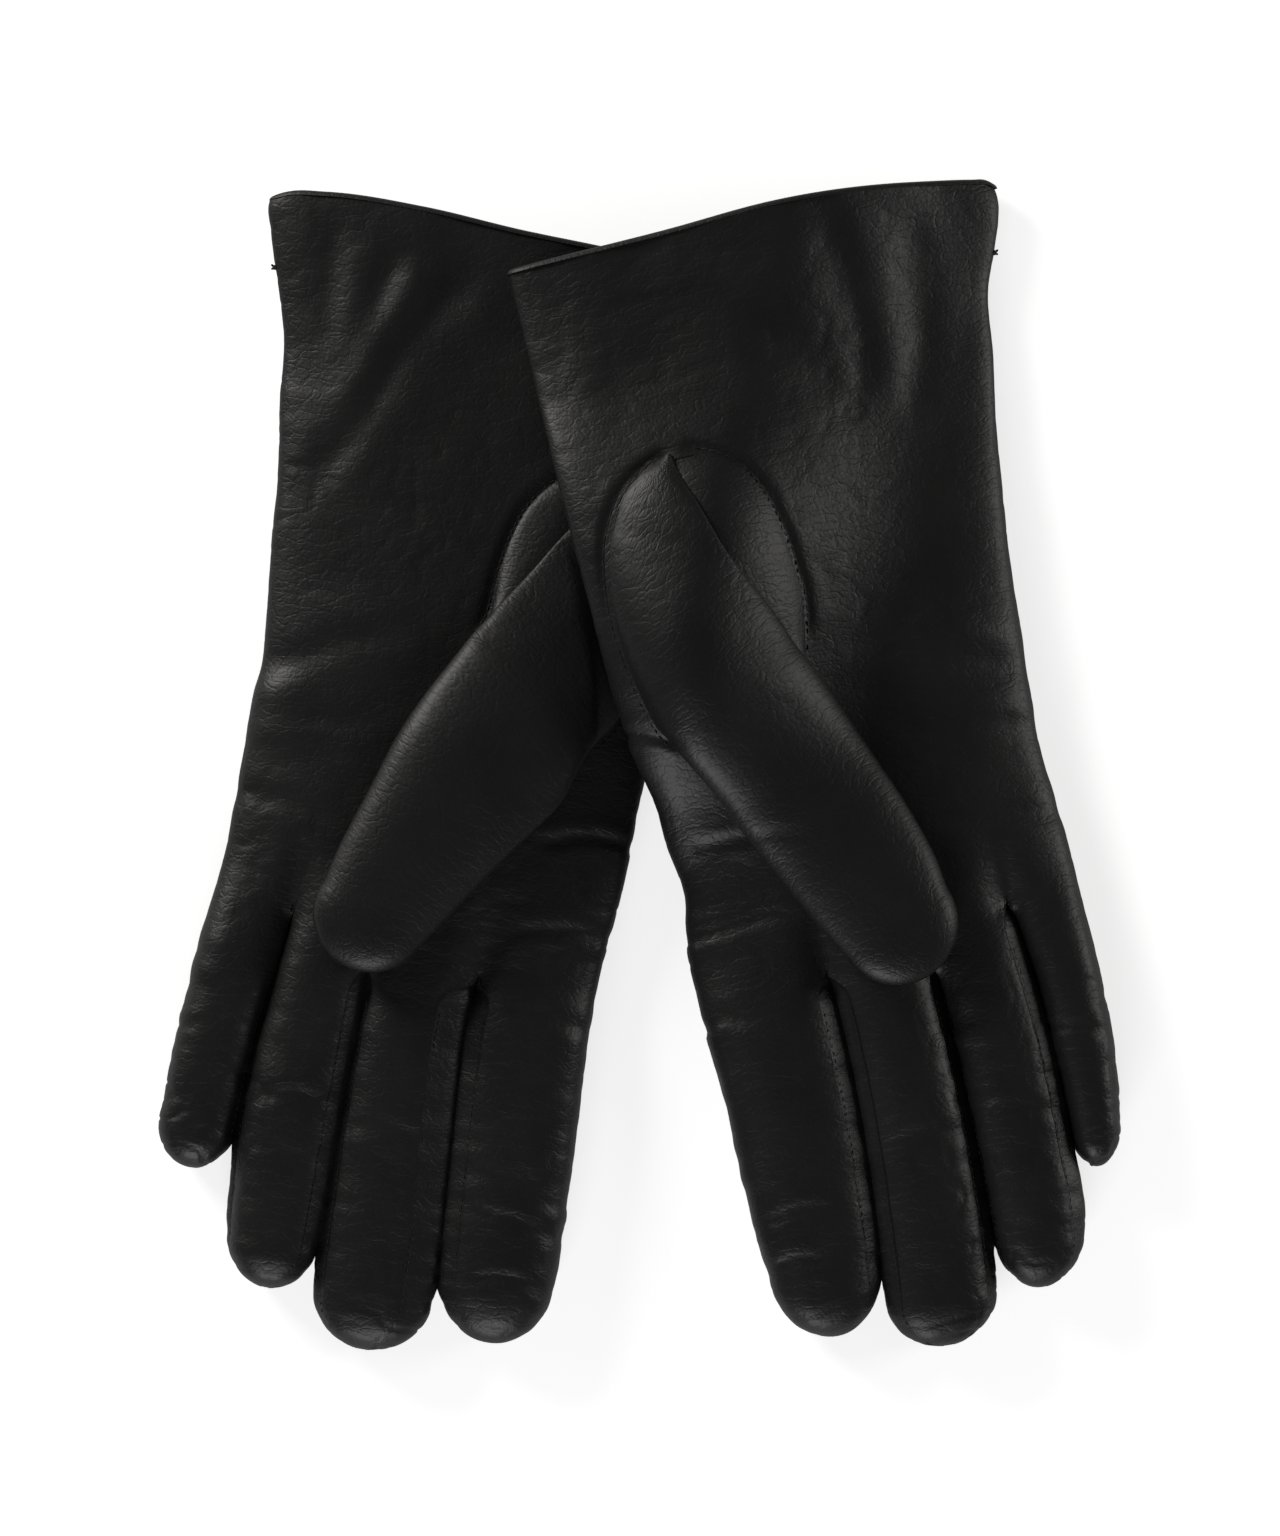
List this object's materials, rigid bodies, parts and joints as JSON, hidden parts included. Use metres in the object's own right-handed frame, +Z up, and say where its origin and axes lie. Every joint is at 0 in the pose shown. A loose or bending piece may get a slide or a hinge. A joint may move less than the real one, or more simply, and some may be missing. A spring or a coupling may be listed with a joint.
{
  "type": "leather gloves",
  "caption": "Pair of lined smooth leather dress gloves lying palm up, crossed at the cuffs, with thumbs folded over the palms and bending fingers.",
  "frame": {"origin": "centre of the pair's footprint, on the surface the gloves lie on", "axes": "+X towards the right-hand glove's side, +Y from the fingertips to the cuffs, +Z up from the surface"},
  "size_m": [0.2363, 0.2863, 0.0466],
  "materials": {
    "leather": "smooth black nappa with a soft sheen",
    "lining": "fine charcoal knit",
    "thread": "black sewing thread"
  },
  "bodies": {
    "left_hand": {"left_hand_leather": "leather", "left_cuff_facing": "leather", "left_hand_lining": "lining", "left_side_tack": "thread", "left_thumb_root": "leather", "left_thumb_root_lining": "lining"},
    "left_thumb": {"left_thumb_leather": "leather", "left_thumb_lining": "lining"},
    "left_index": {"left_index_leather": "leather", "left_index_fourchette": "leather", "left_index_lining": "lining"},
    "left_middle": {"left_middle_palm_leaf": "leather", "left_middle_back_leaf": "leather", "left_middle_inner_fourchette": "leather", "left_middle_outer_fourchette": "leather", "left_middle_lining": "lining"},
    "left_ring": {"left_ring_palm_leaf": "leather", "left_ring_back_leaf": "leather", "left_ring_inner_fourchette": "leather", "left_ring_outer_fourchette": "leather", "left_ring_lining": "lining"},
    "left_little": {"left_little_palm_leaf": "leather", "left_little_back_leaf": "leather", "left_little_fourchette": "leather", "left_little_lining": "lining"},
    "right_hand": {"right_hand_leather": "leather", "right_cuff_facing": "leather", "right_hand_lining": "lining", "right_side_tack": "thread", "right_thumb_root": "leather", "right_thumb_root_lining": "lining"},
    "right_thumb": {"right_thumb_leather": "leather", "right_thumb_lining": "lining"},
    "right_index": {"right_index_leather": "leather", "right_index_fourchette": "leather", "right_index_lining": "lining"},
    "right_middle": {"right_middle_palm_leaf": "leather", "right_middle_back_leaf": "leather", "right_middle_inner_fourchette": "leather", "right_middle_outer_fourchette": "leather", "right_middle_lining": "lining"},
    "right_ring": {"right_ring_palm_leaf": "leather", "right_ring_back_leaf": "leather", "right_ring_inner_fourchette": "leather", "right_ring_outer_fourchette": "leather", "right_ring_lining": "lining"},
    "right_little": {"right_little_palm_leaf": "leather", "right_little_back_leaf": "leather", "right_little_fourchette": "leather", "right_little_lining": "lining"}
  },
  "joints": [
    {"name": "right_hand_lift", "type": "slide", "parent": "left_hand", "child": "right_hand", "axis": [0, 0, 1], "range_m": [0, 0.12]},
    {"name": "left_index_bend", "type": "hinge", "parent": "left_hand", "child": "left_index", "pos_m": [-0.0267, -0.06068, 0.016], "axis": [-0.9863, 0.165, 0], "range_deg": [0, 75]},
    {"name": "left_middle_bend", "type": "hinge", "parent": "left_hand", "child": "left_middle", "pos_m": [-0.05549, -0.05586, 0.016], "axis": [-0.9863, 0.165, 0], "range_deg": [0, 75]},
    {"name": "left_ring_bend", "type": "hinge", "parent": "left_hand", "child": "left_ring", "pos_m": [-0.07897, -0.05193, 0.016], "axis": [-0.9863, 0.165, 0], "range_deg": [0, 75]},
    {"name": "left_little_bend", "type": "hinge", "parent": "left_hand", "child": "left_little", "pos_m": [-0.09721, -0.03671, 0.015], "axis": [-0.9863, 0.165, 0], "range_deg": [0, 75]},
    {"name": "left_thumb_lift", "type": "hinge", "parent": "left_hand", "child": "left_thumb", "pos_m": [-0.02753, 0.01578, 0.0293], "axis": [-0.809, 0.5878, 0], "range_deg": [0, 75]},
    {"name": "right_index_bend", "type": "hinge", "parent": "right_hand", "child": "right_index", "pos_m": [0.03212, -0.05977, 0.016], "axis": [-0.9863, -0.165, 0], "range_deg": [0, 75]},
    {"name": "right_middle_bend", "type": "hinge", "parent": "right_hand", "child": "right_middle", "pos_m": [0.06131, -0.05489, 0.016], "axis": [-0.9863, -0.165, 0], "range_deg": [0, 75]},
    {"name": "right_ring_bend", "type": "hinge", "parent": "right_hand", "child": "right_ring", "pos_m": [0.08341, -0.05119, 0.016], "axis": [-0.9863, -0.165, 0], "range_deg": [0, 75]},
    {"name": "right_little_bend", "type": "hinge", "parent": "right_hand", "child": "right_little", "pos_m": [0.10105, -0.03607, 0.015], "axis": [-0.9863, -0.165, 0], "range_deg": [0, 75]},
    {"name": "right_thumb_lift", "type": "hinge", "parent": "right_hand", "child": "right_thumb", "pos_m": [0.0249, 0.01332, 0.0406], "axis": [-0.8028, -0.5832, 0.124], "range_deg": [0, 75]}
  ]
}
